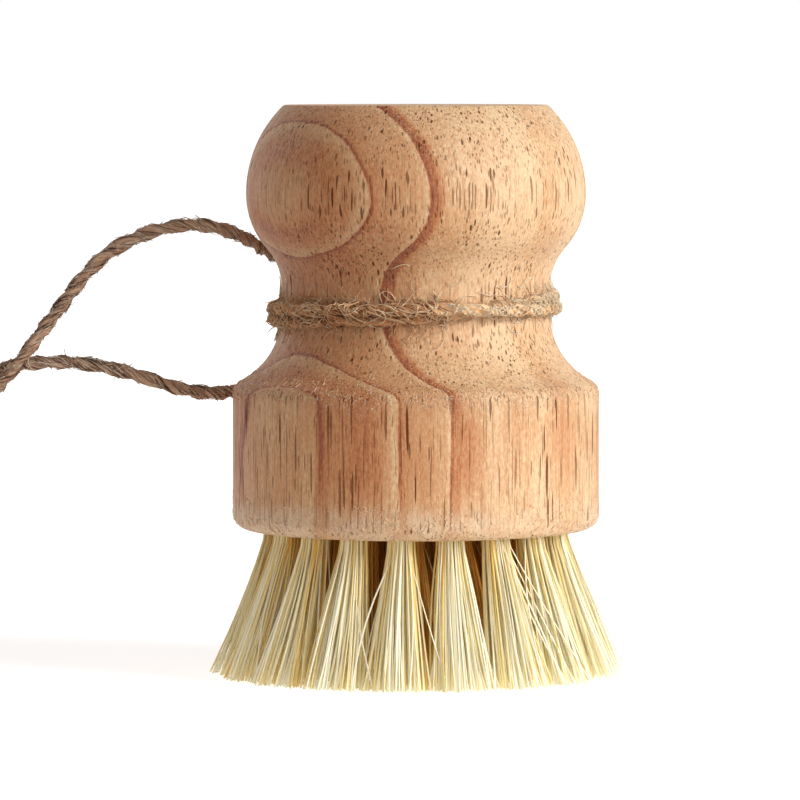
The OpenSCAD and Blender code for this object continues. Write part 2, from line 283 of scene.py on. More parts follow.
# How the two strands lie to each other on the way round: (way round, lean of the pair), in degrees
WAY_END, WAY_STEP = 315, 7.5
PAIR_LEAN = [(0, 90), (60, 90), (90, 104), (118, 128), (150, 180), (172, 216), (200, 238),
             (235, 252), (268, 270), (WAY_END, 270)]
PAIR_HALF, PAIR_SINK = 0.95, 0.3


def pair_point(way, strand):
    """Middle of one of the two strands, which cross over once at the front."""
    lean = math.radians(np.interp(way, *zip(*PAIR_LEAN)))
    side = 1 if strand == 0 else -1
    settle = min(1, max(0, (way - 12) / 40), max(0, (WAY_END - way) / 30))
    half = PAIR_HALF * settle + WRAP_UP * (1 - settle)
    middle = (abs(math.cos(lean)) * half - PAIR_SINK) * settle
    return wrap_point(-way, middle + side * half * math.cos(lean), side * half * math.sin(lean))


def twine_route():
    """The whole twine from knot to knot, and where its free legs begin on it."""
    ends = [np.array((-2, WRAP_R, WRAP_Z + up - 2 * WRAP_SLOPE)) for up in (WRAP_UP, -WRAP_UP)]
    straight = 3 * np.array((-1, 0, -WRAP_SLOPE)) / math.hypot(1, WRAP_SLOPE)
    ways = np.arange(0, WAY_END + 1, WAY_STEP)
    first = [pair_point(w, 0) for w in ways]
    second = [pair_point(w, 1) for w in ways[::-1]]
    arm = [(t, STRAND_PITCH * out, WRAP_UP + STRAND_PITCH * up) for t, out, up in HITCH]
    down_arm = [wrap_point(t, out, -up) for t, out, up in arm]
    up_arm = [wrap_point(*p) for p in arm[::-1]]
    bar = [wrap_point(HITCH_BAR[0], STRAND_PITCH * HITCH_BAR[1], 0)]
    upper = UPPER_LEG[::-1] + [ends[0] + straight]
    lower = [ends[1] + straight] + LOWER_LEG
    middle = [ends[0]] + first + down_arm + bar + up_arm + second + [ends[1]]
    path = smooth_path(upper + middle + lower)
    cuts = [int(np.argmin(np.linalg.norm(path - e, axis=1))) for e in ends]
    return path, cuts


def waist_ground(ways, ups, outline):
    """How far out the wood or a strand stands there, and how high that is."""
    heights = WRAP_Z + ups + WRAP_SLOPE * WRAP_R * np.sin(np.radians(ways))
    ground = np.interp(heights, outline[:, 1], outline[:, 0])
    for strand in (0, 1):
        middle = np.array([pair_point(way, strand) for way in ways])
        bulge = np.sqrt(np.clip((0.55 * WRAP_D) ** 2 - (heights - middle[:, 2]) ** 2, 0, None))
        over = np.hypot(middle[:, 0], middle[:, 1]) + bulge
        ground = np.where(bulge > 0, np.maximum(ground, over), ground)
    return ground, heights


# Where the twine begins to lie flat on the waist's right, over how far, and how much flatter it gets
FLAT_FROM, FLAT_OVER, FLATTENED, FLAT_REACH = 4, 15, 0.34, 6


def press_flat(sweep):
    """On the right the twine is pulled tight and lies flat against the waist."""
    for points in sweep.points:
        r = np.hypot(points[:, 0], points[:, 1])
        tight = np.clip((points[:, 0] - FLAT_FROM) / FLAT_OVER, 0, 1)
        flat = WAIST_R + (r - WAIST_R) * (1 - FLATTENED * tight * tight * (3 - 2 * tight))
        points[:, :2] *= np.where((r > WAIST_R) & (r < WAIST_R + FLAT_REACH), flat / r, 1)[:, None]


CURLS, STRAY_CURLS, CURL_POINTS, CURL_SIDES = 960, 140, 9, 5
# The curls lie on the outline between these heights
CURLS_FROM, CURLS_TO = 46, 76
# On the waist's left and middle, which lie in shade, the curls are never quite pale: painted shade
CURL_SHADE_CAP, CURL_LEFT_END = 0.88, 2


def make_curls():
    """Loose fibres that lie curled over the two strands. The stray ones leave them for the wood."""
    sweep, rng = Sweep(), np.random.default_rng(15)
    outline = np.array([p for p in block_profile() if CURLS_FROM < p[1] < CURLS_TO])
    for k in range(CURLS):
        stray, rising = k < STRAY_CURLS, 1 if rng.random() < 0.65 else -1
        length = 0.9 + 4.2 * rng.random() ** 2
        s = np.linspace(0, length, CURL_POINTS)
        heading = rising * rng.uniform(0.3, 1.3) if stray else rng.normal(0, 0.8)
        heading = math.pi - heading if rng.random() < 0.5 else heading
        angle = heading + rng.normal(0, 0.27) * s + rng.normal(0, 0.09) * s * s
        ds = length / (CURL_POINTS - 1)
        along = np.concatenate([[0], np.cumsum(np.cos(angle[:-1]) * ds)])
        start = 1.9 * rising if stray else rng.normal(0.3, 1.5)
        ups = start + np.concatenate([[0], np.cumsum(np.sin(angle[:-1]) * ds)])
        way = rng.uniform(14, 318) if rng.random() < 0.8 else rng.normal(85, 22)
        ways = (rng.uniform(165, 305) if stray else way) + np.degrees(along / WRAP_R)
        ground, heights = waist_ground(ways, ups, outline)
        smooth = np.convolve(np.pad(ground, 1, mode="edge"), (0.25, 0.5, 0.25), mode="valid")
        lift = rng.uniform(0.08, 0.16)
        lift += rng.uniform(0, 0.4) * np.sin(s / length * math.pi * rng.uniform(0.4, 1))
        reach, turn = np.maximum(ground, smooth) + lift, np.radians(ways)
        path = np.stack([reach * np.sin(turn), reach * np.cos(turn), heights], axis=1)
        thin = rng.uniform(0.06, 0.13) * np.linspace(1, 0.55, CURL_POINTS)
        # The curl's tone follows the twine's painted shade and light over the way from left to right
        tone = np.interp(path[0, 0], *zip(*TWINE_SHADE_TONES)) + rng.uniform(0, 0.62)
        # Painted shade: on the waist's left the curls' tone is held down
        tone = min(tone, CURL_SHADE_CAP if path[0, 0] < CURL_LEFT_END else 1)
        sweep.tube(path, thin, CURL_SIDES, tone, first=(math.sin(turn[0]), math.cos(turn[0]), 0.1))
    press_flat(sweep)
    return sweep.mesh_object("waist_fibres")


def lay_phase(path):
    """How far the two plies have turned round each other at each point, in a lay that wanders."""
    along = way_along(path)
    wander = 0.5 * np.sin(along / 11.3) + 0.35 * np.sin(along / 5.1 + 1.3)
    return 2 * math.pi * along / LAY_PITCH + wander


def make_twine():
    """The round of the waist and the two free legs, as one laid twine."""
    path, (upper_cut, lower_cut) = twine_route()
    frames = path_frames(path)
    phase = lay_phase(path)
    steps = np.arange(len(path))
    thick = np.where((steps > upper_cut) & (steps < lower_cut), WRAP_D, TWINE_D)
    thick = np.pad(thick, SOFT_STEPS // 2, mode="edge")
    thick = np.convolve(thick, np.ones(SOFT_STEPS) / SOFT_STEPS, mode="valid")
    thick = thick * (1 + 0.035 * np.sin(steps * 0.13) + 0.03 * np.sin(steps * 0.053 + 2))
    stretches = (slice(0, upper_cut + 1), slice(upper_cut, lower_cut + 1), slice(lower_cut, len(path)))
    made = {}
    for (name, piece), keep in zip(TWINE_PIECES.items(), stretches):
        tone, laid, hairs, longest, spread, seed = piece
        sweep, rng = Sweep(), np.random.default_rng(seed)
        way, turned, d = path[keep], phase[keep], thick[keep]
        sides = tuple(f[keep] for f in frames)
        # Painted shade and light: the tone follows the twine's way from left to right
        tones = tone + np.interp(way[:, 0], *zip(*TWINE_SHADE_TONES))
        add_twine(sweep, way, sides, turned, d, rng, tones)
        add_laid_fibres(sweep, way, sides, turned, d, laid, rng, tones)
        add_fuzz(sweep, way, sides, d, hairs, longest, rng, spread)
        if name == "waist_twine":
            press_flat(sweep)
        made[name] = sweep.mesh_object(name)
    legs = {"upper_loop_twine": path[:upper_cut + 1][::-1], "lower_loop_twine": path[lower_cut:]}
    return made, legs


KNOT_AXIS = np.array((-0.95, 0.05, -0.31)) / np.linalg.norm((-0.95, 0.05, -0.31))
KNOT_TURNS, KNOT_R, KNOT_LENGTH, KNOT_POINTS = 2.4, 2.15, 4.4, 26
KNOT_D, TAIL_D, TAIL_ENDS = 1.9, 1.95, 46
KNOT_HAIRS, LONGEST_HAIR = 90, 2.4


def make_knot():
    """The knot: two turns round both ends, which leave it as two frayed tails."""
    sweep, rng = Sweep(), np.random.default_rng(14)
    side = np.cross(KNOT_AXIS, (0, 1, 0))
    side /= np.linalg.norm(side)
    other = np.cross(KNOT_AXIS, side)
    t = np.linspace(0, 1, KNOT_POINTS)
    angle = 2 * math.pi * KNOT_TURNS * t + 0.8
    swell = KNOT_R * (0.62 + 0.38 * np.sin(math.pi * t) ** 0.5)
    coil = (KNOT_C + KNOT_LENGTH * (t - 0.5)[:, None] * KNOT_AXIS
            + swell[:, None] * (np.cos(angle)[:, None] * side + np.sin(angle)[:, None] * other))
    runs = [(coil, KNOT_D)]
    for tail, leg in zip(TAILS, (UPPER_LEG, LOWER_LEG)):
        runs.append((np.array([leg[-1]] + tail), TAIL_D))
    for points, d in runs:
        path = smooth_path(points)
        frames = path_frames(path, (0.1, 1, 0.2))
        thick = np.full(len(path), d)
        add_twine(sweep, path, frames, lay_phase(path), thick, rng)
        add_fuzz(sweep, path, frames, thick, KNOT_HAIRS, LONGEST_HAIR, rng)
    for tail in TAILS:
        end = np.array(tail[-1], float)
        way = end - np.array(tail[-2], float)
        way /= np.linalg.norm(way)
        for _ in range(TAIL_ENDS):
            lean = rng.normal(0, 0.28, 3)
            start = end + rng.normal(0, 0.4, 3) - way * 0.6
            s = np.linspace(0, 1, 6)[:, None]
            fibre = start + rng.uniform(1.2, 3.4) * (s * (way + lean) + s ** 2 * rng.normal(0, 0.22, 3))
            sweep.tube(fibre, 0.06 * np.linspace(1, 0.5, 6), 3, rng.uniform(0.4, 1.0), first=(0, 1, 0.3))
    return sweep.mesh_object("end_knot_twine")


def declare_cords(made):
    for name, node in (("upper_loop_twine", "upper_loop_leg"), ("lower_loop_twine", "lower_loop_leg")):
        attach(made[name], "twine_ring")
        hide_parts(node)


# Modelling by hand: everything is deselected first, then one piece is worked on

def start_fresh():
    if bpy.context.object and bpy.context.object.mode != "OBJECT":
        bpy.ops.object.mode_set(mode="OBJECT")
    bpy.ops.object.select_all(action="DESELECT")


def work_on(obj):
    start_fresh()
    obj.select_set(True)
    bpy.context.view_layer.objects.active = obj


def arc(centre, r, start, end, step=2.5):
    """Points of an arc past its first one, angles in degrees."""
    steps = max(2, math.ceil(abs(end - start) / step))
    angles = [math.radians(start + (end - start) * i / steps) for i in range(1, steps + 1)]
    return [(centre[0] + r * math.cos(a), centre[1] + r * math.sin(a)) for a in angles]


def block_profile():
    """The block's outline from the middle of its underside to the middle of its top."""
    wall_top = UNDERSIDE_Z + WALL_H
    corner = (DRUM_R - DRUM_CORNER_R, wall_top)
    shoulder_x = WAIST_R + SHOULDER_R
    waist_low = wall_top + math.sqrt((SHOULDER_R + DRUM_CORNER_R) ** 2 - (shoulder_x - corner[0]) ** 2)
    shoulder_a = math.degrees(math.atan2(waist_low - corner[1], shoulder_x - corner[0]))
    waist_top = waist_low + WAIST_H
    neck = (WAIST_R + NECK_R, waist_top)
    low_x, high_x = KNOB_R - KNOB_LOW_R, KNOB_R - KNOB_HIGH_R
    knob_z = waist_top + math.sqrt((NECK_R + KNOB_LOW_R) ** 2 - (neck[0] - low_x) ** 2)
    neck_a = math.degrees(math.atan2(knob_z - waist_top, low_x - neck[0]))
    top_z, edge_up = knob_z + KNOB_TOP_H, KNOB_TOP_H - TOP_EDGE_R
    edge_x = high_x + math.sqrt((KNOB_HIGH_R - TOP_EDGE_R) ** 2 - edge_up ** 2)
    edge_a = math.degrees(math.atan2(edge_up, edge_x - high_x))
    low_edge = (DRUM_R - DRUM_EDGE_R, UNDERSIDE_Z + DRUM_EDGE_R)
    wall = [(DRUM_R, low_edge[1] + (wall_top - low_edge[1]) * i / 6) for i in range(1, 7)]
    return ([(r, UNDERSIDE_Z) for r in (0, 10, 20, low_edge[0])]
            + arc(low_edge, DRUM_EDGE_R, -90, 0, 9) + wall
            + arc(corner, DRUM_CORNER_R, 0, shoulder_a, 6)
            + arc((shoulder_x, waist_low), SHOULDER_R, shoulder_a + 180, 180)
            + [(WAIST_R, waist_low + WAIST_H / 2), (WAIST_R, waist_top)]
            + arc(neck, NECK_R, 180, neck_a, 3)
            + arc((low_x, knob_z), KNOB_LOW_R, neck_a - 180, 0)
            + arc((high_x, knob_z), KNOB_HIGH_R, 0, edge_a)
            + arc((edge_x, top_z - TOP_EDGE_R), TOP_EDGE_R, edge_a, 90, 12)
            + [(14, top_z), (6, top_z), (0, top_z)])


def hole_places():
    for ring in range(3, -1, -1):
        count = 6 * ring or 1
        for i in range(1, count + 1):
            turn = math.radians(-90 - RING_TURN * ring / 3 + 360 * i / count)
            name = "centre_tuft" if ring == 0 else f"{RINGS[ring]}_tuft_{i:02d}"
            yield name, ring, turn


def hole_matrix(ring, turn):
    """Z up the hole's axis, from the middle of its mouth."""
    lean = math.atan2(ring * RING_PITCH, SPLAY_H)
    mouth = Vector((ring * RING_PITCH * math.cos(turn), ring * RING_PITCH * math.sin(turn), UNDERSIDE_Z))
    return (Matrix.Translation(mouth * MM) @ Matrix.Rotation(turn, 4, "Z")
            @ Matrix.Rotation(-lean, 4, "Y"))


DRILL_SIDES, DRILL_PAST = 24, 3


def drill_holes(block):
    """One drill, copied to each hole and cut out of the block."""
    start_fresh()
    bpy.ops.mesh.primitive_cylinder_add(vertices=DRILL_SIDES, radius=HOLE_R * MM,
                                        depth=(HOLE_DEPTH + DRILL_PAST) * MM,
                                        location=(0, 0, (HOLE_DEPTH - DRILL_PAST) / 2 * MM))
    drill = bpy.context.object
    bpy.ops.object.transform_apply(location=True, rotation=True, scale=True)
    drills = []
    for _, ring, turn in hole_places():
        one = drill.copy()
        one.data = drill.data.copy()
        one.data.transform(hole_matrix(ring, turn))
        SCENE.collection.objects.link(one)
        drills.append(one)
    bpy.data.objects.remove(drill)
    work_on(drills[0])
    for one in drills:
        one.select_set(True)
    bpy.ops.object.join()
    cutter = bpy.context.object
    work_on(block)
    cut = block.modifiers.new("holes", "BOOLEAN")
    cut.operation, cut.solver, cut.object = "DIFFERENCE", "EXACT", cutter
    bpy.ops.object.modifier_apply(modifier=cut.name)
    bpy.data.objects.remove(cutter)


def turn_block():
    """The outline is drawn point by point and spun round the turning axis."""
    start_fresh()
    outline = [Vector((r, 0, z)) * MM for r, z in block_profile()]
    bpy.ops.mesh.primitive_plane_add(size=0.001)
    block = bpy.context.object
    block.name = block.data.name = "turned_block"
    bpy.ops.object.mode_set(mode="EDIT")
    bpy.ops.mesh.select_all(action="SELECT")
    bpy.ops.mesh.merge(type="CENTER")
    bpy.ops.transform.translate(value=outline[0])
    for here, there in zip(outline, outline[1:]):
        bpy.ops.mesh.extrude_vertices_move(TRANSFORM_OT_translate={"value": there - here})
    bpy.ops.mesh.select_all(action="SELECT")
    bpy.ops.mesh.spin(steps=BLOCK_SIDES, angle=2 * math.pi, center=(0, 0, 0), axis=(0, 0, 1))
    bpy.ops.mesh.select_all(action="SELECT")
    bpy.ops.mesh.remove_doubles(threshold=0.002 * MM)
    bpy.ops.mesh.normals_make_consistent(inside=False)
    bpy.ops.object.mode_set(mode="OBJECT")
    drill_holes(block)
    work_on(block)
    bpy.ops.object.shade_smooth_by_angle(angle=math.radians(35))
    return block


SLIVER_TRIES, SLIVER_SIDES, RIM_SHARE = 3600, 3, 0.6
# Lowest, commonest and highest place of the slivers, on the lower rim and on the shoulder
RIM_SLIVERS, SHOULDER_SLIVERS, SLIVERS_END = (23.9, 25.5, 30.5), (44.6, 46.6, 51), 52


def make_slivers():
    """Fine slivers of raised grain where the tool left the wood furry: the lower rim and the shoulder."""
    sweep, rng = Sweep(), np.random.default_rng(21)
    outline = np.array(block_profile()[1:-1])
    for _ in range(SLIVER_TRIES):
        low = rng.random() < RIM_SHARE
        z = rng.triangular(*(RIM_SLIVERS if low else SHOULDER_SLIVERS))
        turn = rng.uniform(0, 2 * math.pi)
        if low and math.sin(3 * turn + 1) + math.sin(7 * turn) < rng.uniform(-2, 0.8):
            continue
        lean = rng.normal(0.3, 0.9)
        curl = rng.normal(0, 0.7)
        length = rng.uniform(0.25, 0.7)
        s = np.linspace(0, 1, 5)
        heights = z + length * (s * math.sin(lean) + 0.4 * curl * s ** 2)
        heights = np.clip(heights, RIM_SLIVERS[0], SLIVERS_END)
        reach = np.interp(heights, outline[:, 1], outline[:, 0]) + 0.02 + rng.uniform(0, 0.16) * s
        turns = turn + length * s * math.cos(lean) / (DRUM_R - 1)
        path = np.stack([reach * np.cos(turns), reach * np.sin(turns), heights], axis=1)
        thin = rng.uniform(0.045, 0.085) * (1 - 0.5 * s)
        sweep.tube(path, thin, SLIVER_SIDES, rng.uniform(0, 0.85), first=(0.3, 0.2, 1))
    return sweep.mesh_object("raised_grain")


# Bristles

FIBRE_SIDES, FIBRE_CUTS = 4, 7
FIBRES_PER_TUFT, GOLDEN_TURN, FIBRE_R = 140, 2.39996, (0.11, 0.2)
# How late the splay begins, how uneven the tips are, and the share of strays in the outer and inner rings
SPLAY_CURVE, TIP_JITTER, OUTER_STRAYS, INNER_STRAYS = 1.12, 0.45, 0.03, 0.01
# Tones of the roots and the strays, and the shift of a fibre's tone in the outer and inner rings: painted
# light on the outer ring, and painted shade on the inner rings, which are also a little more ochre
ROOT_TONE, STRAY_TONE, OUTER_LIGHT_SHIFT, INNER_SHADE_SHIFT = 0.35, 0.95, 0.1, -0.38
PLUG_R, PLUG_LENGTH, PLUG_MIDDLE, PLUG_ROUND, PLUG_SIDES = 2.2, 11.4, 6.2, 1.3, 18


def make_fibre():
    """One fibre, drawn down from a small polygon by extrusion, 1 long and 1 in radius."""
    start_fresh()
    bpy.ops.mesh.primitive_circle_add(vertices=FIBRE_SIDES, radius=1, fill_type="NGON")
    fibre = bpy.context.object
    bpy.ops.object.mode_set(mode="EDIT")
    bpy.ops.mesh.select_all(action="SELECT")
    for _ in range(FIBRE_CUTS):
        bpy.ops.mesh.extrude_region_move(TRANSFORM_OT_translate={"value": (0, 0, -1 / FIBRE_CUTS)})
    bpy.ops.mesh.select_all(action="SELECT")
    bpy.ops.mesh.normals_make_consistent(inside=False)
    bpy.ops.object.mode_set(mode="OBJECT")
    fibre.data.attributes.new("tone", "FLOAT", "POINT")
    fibre.data.attributes.new("down", "FLOAT", "POINT")
    return fibre


def make_root():
    """The folded root of a tuft, which fills its hole: a bundle with a rounded fold on top."""
    start_fresh()
    bpy.ops.mesh.primitive_cylinder_add(vertices=PLUG_SIDES, radius=PLUG_R * MM, depth=PLUG_LENGTH * MM,
                                        location=(0, 0, PLUG_MIDDLE * MM))
    root = bpy.context.object
    bpy.ops.object.transform_apply(location=True, rotation=True, scale=True)
    bpy.ops.object.mode_set(mode="EDIT")
    bpy.ops.mesh.select_all(action="DESELECT")
    bpy.ops.object.mode_set(mode="OBJECT")
    for face in root.data.polygons:
        face.select = face.normal.z > 0.9
    bpy.ops.object.mode_set(mode="EDIT")
    bpy.ops.mesh.select_mode(type="FACE")
    bpy.ops.mesh.bevel(offset=PLUG_ROUND * MM, segments=4, affect="EDGES")
    bpy.ops.object.mode_set(mode="OBJECT")
    return root


def bend_fibre(rest, rng, ring, turn, place, stray):
    """Points of one fibre: from inside the tuft's root, splayed and curved, to its trimmed tip."""
    outwards = np.array((math.cos(turn), math.sin(turn)))
    across = np.array((-math.sin(turn), math.cos(turn)))
    hole, place = outwards * ring * RING_PITCH, np.array(place)
    jitter = np.array((rng.gauss(0, 1), rng.gauss(0, 1)))
    root = hole + ROOT_R * place
    tip = (TIP_SCALE * hole + FAN_OUT * place.dot(outwards) * outwards
           + FAN_ACROSS * place.dot(across) * across + TIP_JITTER * jitter)
    if stray:
        tip += rng.choice((-1, 1)) * rng.uniform(3.5, 8) * across + rng.uniform(0, 1.6) * outwards
    sway = np.array((rng.gauss(0, 1), rng.gauss(0, 1))) * (0.75 if stray else 0.32)
    start_z = UNDERSIDE_Z + rng.uniform(1.0, 2.2)
    end_z = 0.02 + abs(rng.gauss(0, 0.14)) + (rng.uniform(0, 1.0) if rng.random() < 0.05 else 0)
    down = -rest[:, 2]
    z = start_z + (end_z - start_z) * down
    free = np.clip((UNDERSIDE_Z - z) / UNDERSIDE_Z, 0, 1)
    share = free ** SPLAY_CURVE
    wave = np.sin(math.pi * free)
    middle = root[None, :] * (1 - share)[:, None] + tip[None, :] * share[:, None] + wave[:, None] * sway
    thick = rng.uniform(*FIBRE_R)
    spin = rng.uniform(0, 2 * math.pi)
    flat = rng.uniform(0.6, 1.0)
    x, y = rest[:, 0] * thick, rest[:, 1] * thick * flat
    out = np.empty_like(rest)
    out[:, 0] = middle[:, 0] + x * math.cos(spin) - y * math.sin(spin)
    out[:, 1] = middle[:, 1] + x * math.sin(spin) + y * math.cos(spin)
    out[:, 2] = z
    return out * MM, free


def make_tuft(name, ring, turn, fibre, root, seed):
    """Copies of the one fibre, each bent on its own, and the root that holds them."""
    rng = random.Random(seed)
    rest = np.empty(len(fibre.data.vertices) * 3)
    fibre.data.vertices.foreach_get("co", rest)
    rest = rest.reshape(-1, 3)
    plug = root.copy()
    plug.data = root.data.copy()
    plug.data.transform(hole_matrix(ring, turn))
    for key, value in (("tone", ROOT_TONE), ("down", 0.0)):
        plug.data.attributes.new(key, "FLOAT", "POINT").data.foreach_set(
            "value", [value] * len(plug.data.vertices))
    SCENE.collection.objects.link(plug)
    parts = [plug]
    outer = ring == 3
    # Each tuft's own tone at random, and on the outer ring painted light: paler towards the front right,
    # where the key light falls
    tuft_tone_and_light = rng.gauss(0, 0.05) + (0.12 * math.cos(turn + 0.8) if outer else 0)
    for k in range(FIBRES_PER_TUFT):
        reach = math.sqrt((k + 0.5) / FIBRES_PER_TUFT)
        angle = k * GOLDEN_TURN + rng.uniform(-0.3, 0.3)
        place = (reach * math.cos(angle), reach * math.sin(angle))
        stray = rng.random() < (OUTER_STRAYS if outer else INNER_STRAYS)
        points, free = bend_fibre(rest, rng, ring, turn, place, stray)
        one = fibre.copy()
        one.data = fibre.data.copy()
        one.data.vertices.foreach_set("co", points.ravel())
        # Painted light and shade: fibres on a tuft's outward face are paler, those at its sides darker, as in
        # the shade between tufts
        front = place[0] * math.cos(turn) + place[1] * math.sin(turn)
        edge = max(0, abs(place[1] * math.cos(turn) - place[0] * math.sin(turn)) - 0.5)
        tone = STRAY_TONE if stray else rng.gauss(0.55, 0.19) + tuft_tone_and_light + 0.14 * front - 0.34 * edge
        # Painted light on the outer ring, painted shade on the inner rings
        tone += OUTER_LIGHT_SHIFT if outer else INNER_SHADE_SHIFT
        tone = min(1, max(0, tone))
        one.data.attributes["tone"].data.foreach_set("value", [tone] * len(points))
        one.data.attributes["down"].data.foreach_set("value", free.astype(np.float32))
        SCENE.collection.objects.link(one)
        parts.append(one)
    work_on(parts[0])
    for one in parts:
        one.select_set(True)
    bpy.ops.object.join()
    tuft = bpy.context.object
    tuft.name = tuft.data.name = f"{name}_fibres"
    return tuft


# Materials

class Maker:
    """Adds nodes to one material and links them as they are made."""

    def __init__(self, name):
        self.material = bpy.data.materials.new(name)
        self.material.use_nodes = True
        self.nodes, self.links = self.material.node_tree.nodes, self.material.node_tree.links
        self.shader = self.nodes["Principled BSDF"]

    def put(self, socket, value):
        if isinstance(value, bpy.types.NodeSocket):
            self.links.new(value, socket)
        elif value is not None:
            socket.default_value = value

    def node(self, kind, settings=None, **inputs):
        made = self.nodes.new(f"ShaderNode{kind}")
        for key, value in (settings or {}).items():
            setattr(made, key, value)
        for key, value in inputs.items():
            self.put(made.inputs[key], value)
        return made

    def set(self, **values):
        """Sets the shader's own inputs, whose names are written with an underscore for a space."""
        for key, value in values.items():
            self.put(self.shader.inputs[key.replace("_", " ")], value)

    def math(self, operation, a, b, clamp=False):
        made = self.node("Math", {"operation": operation, "use_clamp": clamp})
        self.put(made.inputs[0], a)
        self.put(made.inputs[1], b)
        return made.outputs[0]

    def add(self, a, b, clamp=False):
        return self.math("ADD", a, b, clamp)

    def less(self, a, b):
        return self.math("SUBTRACT", a, b)

    def times(self, a, b):
        return self.math("MULTIPLY", a, b)

    def vector(self, operation, a, b=None, scale=None):
        made = self.node("VectorMath", {"operation": operation})
        self.put(made.inputs[0], a)
        self.put(made.inputs[1], b)
        if scale is not None:
            made.inputs["Scale"].default_value = scale
        return made.outputs["Value" if operation in ("DOT_PRODUCT", "LENGTH") else "Vector"]

    def between(self, value, low, high, to_low=0.0, to_high=1.0, smooth=False):
        made = self.node("MapRange", {"interpolation_type": "SMOOTHSTEP" if smooth else "LINEAR"})
        for socket, v in zip(made.inputs, (value, low, high, to_low, to_high)):
            self.put(socket, v)
        return made.outputs[0]

    def noise(self, where, stretch, detail=3.0, roughness=0.5, output="Fac"):
        """A noise round 0.5, finer where the stretch is larger."""
        where = self.vector("MULTIPLY", where, stretch)
        made = self.node("TexNoise", None, Vector=where, Scale=1.0, Detail=detail, Roughness=roughness)
        return made.outputs[output]

    def wander(self, where, stretch, detail, roughness, reach):
        """A drift to all sides, as a vector."""
        drift = self.noise(where, stretch, detail, roughness, "Color")
        return self.vector("SCALE", self.vector("SUBTRACT", drift, (0.5, 0.5, 0.5)), scale=reach)

    def ramp(self, value, stops):
        made = self.node("ValToRGB", None, Fac=value)
        line = made.color_ramp.elements
        while len(line) > 1:
            line.remove(line[-1])
        line[0].position, line[0].color = stops[0][0], shade_of(stops[0][1])
        for place, colour in stops[1:]:
            line.new(place).color = shade_of(colour)
        return made.outputs["Color"]

    def grey(self, colour):
        return self.node("RGBToBW", None, Color=colour).outputs[0]

    def place(self):
        """The place on the piece, in millimetres."""
        return self.vector("SCALE", self.node("TexCoord").outputs["Object"], scale=1 / MM)

    def carried(self, name):
        """A value that the mesh's points carry."""
        return self.node("Attribute", {"attribute_name": name}).outputs["Fac"]

    def vary(self, tone, noise, how_much, clamp=False):
        """The tone, shifted up and down by a noise round 0.5."""
        return self.add(tone, self.times(self.less(noise, 0.5), how_much), clamp)

    def mix(self, share, a, b):
        made = self.node("Mix", {"data_type": "RGBA"})
        self.put(made.inputs["Factor"], share)
        self.put(made.inputs[6], shade_of(a))
        self.put(made.inputs[7], shade_of(b))
        return made.outputs[2]

    def bump(self, height, distance, strength):
        made = self.node("Bump", None, Height=height, Distance=distance, Strength=strength)
        self.put(self.shader.inputs["Normal"], made.outputs["Normal"])


def shade_of(colour):
    """A colour written as sRGB steps of 255, a grey number or a socket, as a node wants it."""
    if isinstance(colour, (int, float)):
        return (colour, colour, colour, 1.0)
    if not isinstance(colour, tuple):
        return colour
    linear = [c / 255 / 12.92 if c <= 10 else ((c / 255 + 0.055) / 1.055) ** 2.4 for c in colour]
    return (*linear, 1.0)


WOOD_PALE, WOOD_MID, WOOD_RED, WOOD_LINE = (239, 203, 158), (216, 165, 117), (193, 123, 73), (146, 72, 38)
WOOD_PORE, WOOD_FUR, WOOD_RIM = (96, 46, 20), (252, 226, 188), (244, 218, 184)
# The layers of growth lie nearly flat: the way across them, and how much they curve
GROWTH_WAY, GROWTH_SIDE, GROWTH_BEND = (-0.777, -0.629, 0), (0.629, -0.777, 0), 0.006
# Tone over depth that way: pale past each line, redder and darker up to the next one
FRONT_LAYERS = [
    (0, 0.2), (1.2, 0.1), (3.2, 0.0), (5.6, 0.02), (6.6, 0.1), (9.5, 0.12), (12.5, 0.14),
    (15.2, 0.18), (17.1, 0.26), (17.45, 0.52), (17.8, 0.8), (18.1, 0.76), (18.35, 1.0), (18.6, 1.0),
    (18.72, 0.12), (19.6, 0.36), (22.2, 0.46), (23.2, 0.56), (23.5, 0.66), (23.62, 0.98), (23.76, 0.98),
    (23.88, 0.2), (24.5, 0.3), (25.3, 0.56), (26.3, 0.68), (27.8, 0.56), (28.4, 0.68), (28.52, 0.98),
    (28.66, 0.98), (28.8, 0.32), (32, 0.38),
]
BACK_LAYERS = [
    (-32, 0.3), (-28.9, 0.7), (-28.5, 0.9), (-28.35, 0.05), (-26, 0.2), (-23.4, 0.6),
    (-22.9, 0.9), (-22.75, 0.06), (-20, 0.2), (-16.4, 0.3), (-16, 0.4), (-15.8, 0.06),
    (-12, 0.03), (-9, 0.06), (-5, 0.14), (-2.5, 0.2), (0, 0.2),
]
# How much redder or paler that tone is on the drum
DRUM_SHIFT = [(0, 0.14), (3, 0.14), (8, 0.12), (13.6, 0.1), (15, 0.22), (17.2, 0.3), (17.6, -0.12),
              (18.5, -0.12), (18.6, 0.0), (32, 0.0)]
LAYERS_END = 32.0
# Where the tool left the surface furry and scratched, over height
ROUGH_HEIGHTS = [(23.8, 1.0), (26.5, 0.9), (29.5, 0.25), (32, 0.06), (42, 0.08), (45, 0.5), (46.5, 1.0),
                 (49.5, 0.8), (53, 0.5), (58, 0.3), (64, 0.5), (70, 0.5), (75, 0.16), (82, 0.16),
                 (87, 0.5), (91, 0.85), (93.1, 0.9)]


